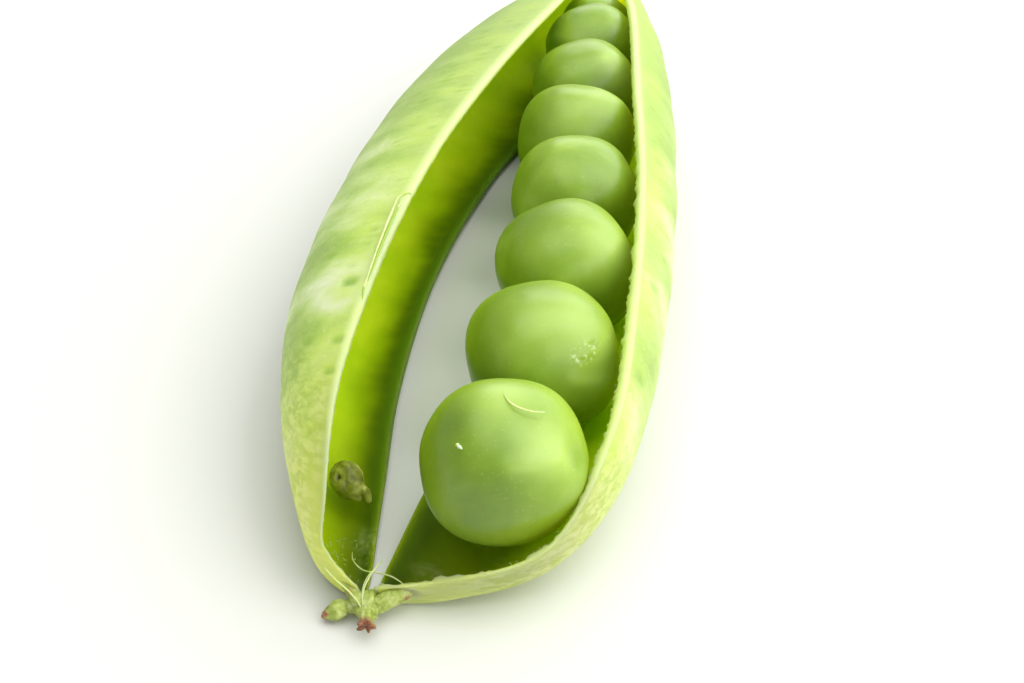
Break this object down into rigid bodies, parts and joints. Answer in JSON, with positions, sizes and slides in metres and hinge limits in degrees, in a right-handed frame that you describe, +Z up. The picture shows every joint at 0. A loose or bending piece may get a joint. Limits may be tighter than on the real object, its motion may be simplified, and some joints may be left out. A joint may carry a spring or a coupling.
{
  "type": "pea pod",
  "caption": "Opened garden pea pod lying on its side walls, its two valves parted around a row of round green peas.",
  "frame": {"origin": "under the middle of the whole pod, on the surface it lies on", "axes": "+Y from the stem end to the beak, +Z up from the surface the pod lies on, +X to the right seen from the stem end"},
  "size_m": [0.0264, 0.0996, 0.0123],
  "materials": {
    "valve": "waxy pale green skin outside, glossy yellow-green lining inside",
    "pea": "smooth satin seed coat",
    "funicle": "moist pale green",
    "stunted_seed": "dull wrinkled olive",
    "calyx_lobe": "matte green with a dry brown tip",
    "stalk": "matte green with a dry reddish-brown broken end",
    "beak": "matte pale green"
  },
  "bodies": {
    "root": {"valve_left": "valve", "valve_right": "valve", "pea_1": "pea", "pea_2": "pea", "pea_3": "pea", "pea_4": "pea", "pea_5": "pea", "pea_6": "pea", "pea_7": "pea", "pea_8": "pea", "funicle_1": "funicle", "funicle_2": "funicle", "funicle_3": "funicle", "funicle_4": "funicle", "funicle_5": "funicle", "funicle_6": "funicle", "funicle_7": "funicle", "funicle_8": "funicle", "stunted_seed": "stunted_seed", "calyx_lobe": "calyx_lobe", "stalk": "stalk", "beak": "beak"}
  },
  "joints": []
}
